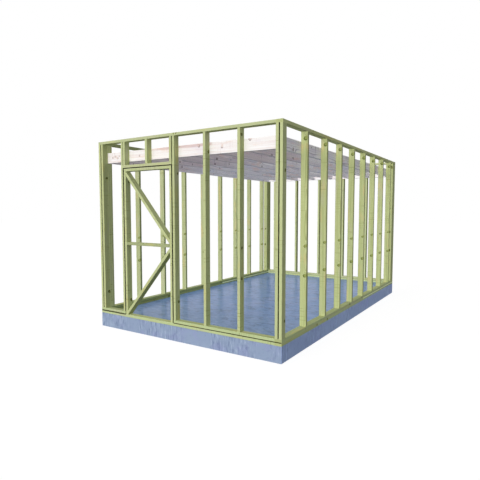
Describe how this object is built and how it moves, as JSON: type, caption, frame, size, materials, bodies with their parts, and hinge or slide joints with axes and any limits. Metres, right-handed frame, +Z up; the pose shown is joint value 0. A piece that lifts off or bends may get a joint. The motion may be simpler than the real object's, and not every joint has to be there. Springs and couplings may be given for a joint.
{
  "type": "timber building frame",
  "caption": "Stud-walled timber building frame on a concrete base slab, with a braced frame in its doorway and a level of ceiling joists.",
  "frame": {"origin": "centre of the underside of the concrete slab, on the ground", "axes": "+Z up, +Y along the long side walls from the front wall towards the back, +X to the right as seen from in front; the front wall with the doorway faces -Y"},
  "size_m": [3, 5, 2.7],
  "materials": {
    "green_timber": "planed softwood, pressure treated to a pale green, with growth-ring grain and brown knots, eased edges",
    "white_timber": "planed untreated whitewood, near white with faint pink-brown grain and small grey knots",
    "concrete": "fair-faced concrete with a blue-grey cast, faint vertical streaks on its sides, power-floated top with a slight sheen"
  },
  "bodies": {
    "root": {"back_stud_1": "green_timber", "back_stud_2": "green_timber", "back_stud_3": "green_timber", "back_stud_4": "green_timber", "back_stud_5": "green_timber", "base_slab": "concrete", "bottom_plate_back": "green_timber", "bottom_plate_front_left": "green_timber", "bottom_plate_front_right": "green_timber", "bottom_plate_left": "green_timber", "bottom_plate_right": "green_timber", "ceiling_joist_1": "white_timber", "ceiling_joist_2": "white_timber", "ceiling_joist_3": "white_timber", "ceiling_joist_4": "white_timber", "ceiling_joist_5": "white_timber", "ceiling_joist_6": "white_timber", "ceiling_joist_7": "white_timber", "ceiling_joist_8": "white_timber", "corner_post_back_left": "green_timber", "corner_post_back_right": "green_timber", "corner_post_front_left": "green_timber", "door_header": "green_timber", "door_post_left": "green_timber", "door_post_right": "green_timber", "frame_brace_lower": "green_timber", "frame_brace_upper": "green_timber", "frame_middle_rail": "green_timber", "frame_stile_left": "green_timber", "frame_stile_right": "green_timber", "frame_top_rail": "green_timber", "front_corner_stud_inner": "green_timber", "front_corner_stud_outer": "green_timber", "front_stud_1": "green_timber", "front_stud_2": "green_timber", "header_stud_middle": "green_timber", "header_stud_right": "green_timber", "left_stud_1": "green_timber", "left_stud_2": "green_timber", "left_stud_3": "green_timber", "left_stud_4": "green_timber", "left_stud_5": "green_timber", "left_stud_6": "green_timber", "left_stud_7": "green_timber", "left_stud_8": "green_timber", "right_stud_1": "green_timber", "right_stud_2": "green_timber", "right_stud_3": "green_timber", "right_stud_4": "green_timber", "right_stud_5": "green_timber", "right_stud_6": "green_timber", "right_stud_7": "green_timber", "right_stud_8": "green_timber", "rim_joist_back": "white_timber", "rim_joist_front": "white_timber", "sole_plate": "green_timber", "top_plate_back": "green_timber", "top_plate_front": "green_timber", "top_plate_left": "green_timber", "top_plate_right": "green_timber"}
  },
  "joints": []
}
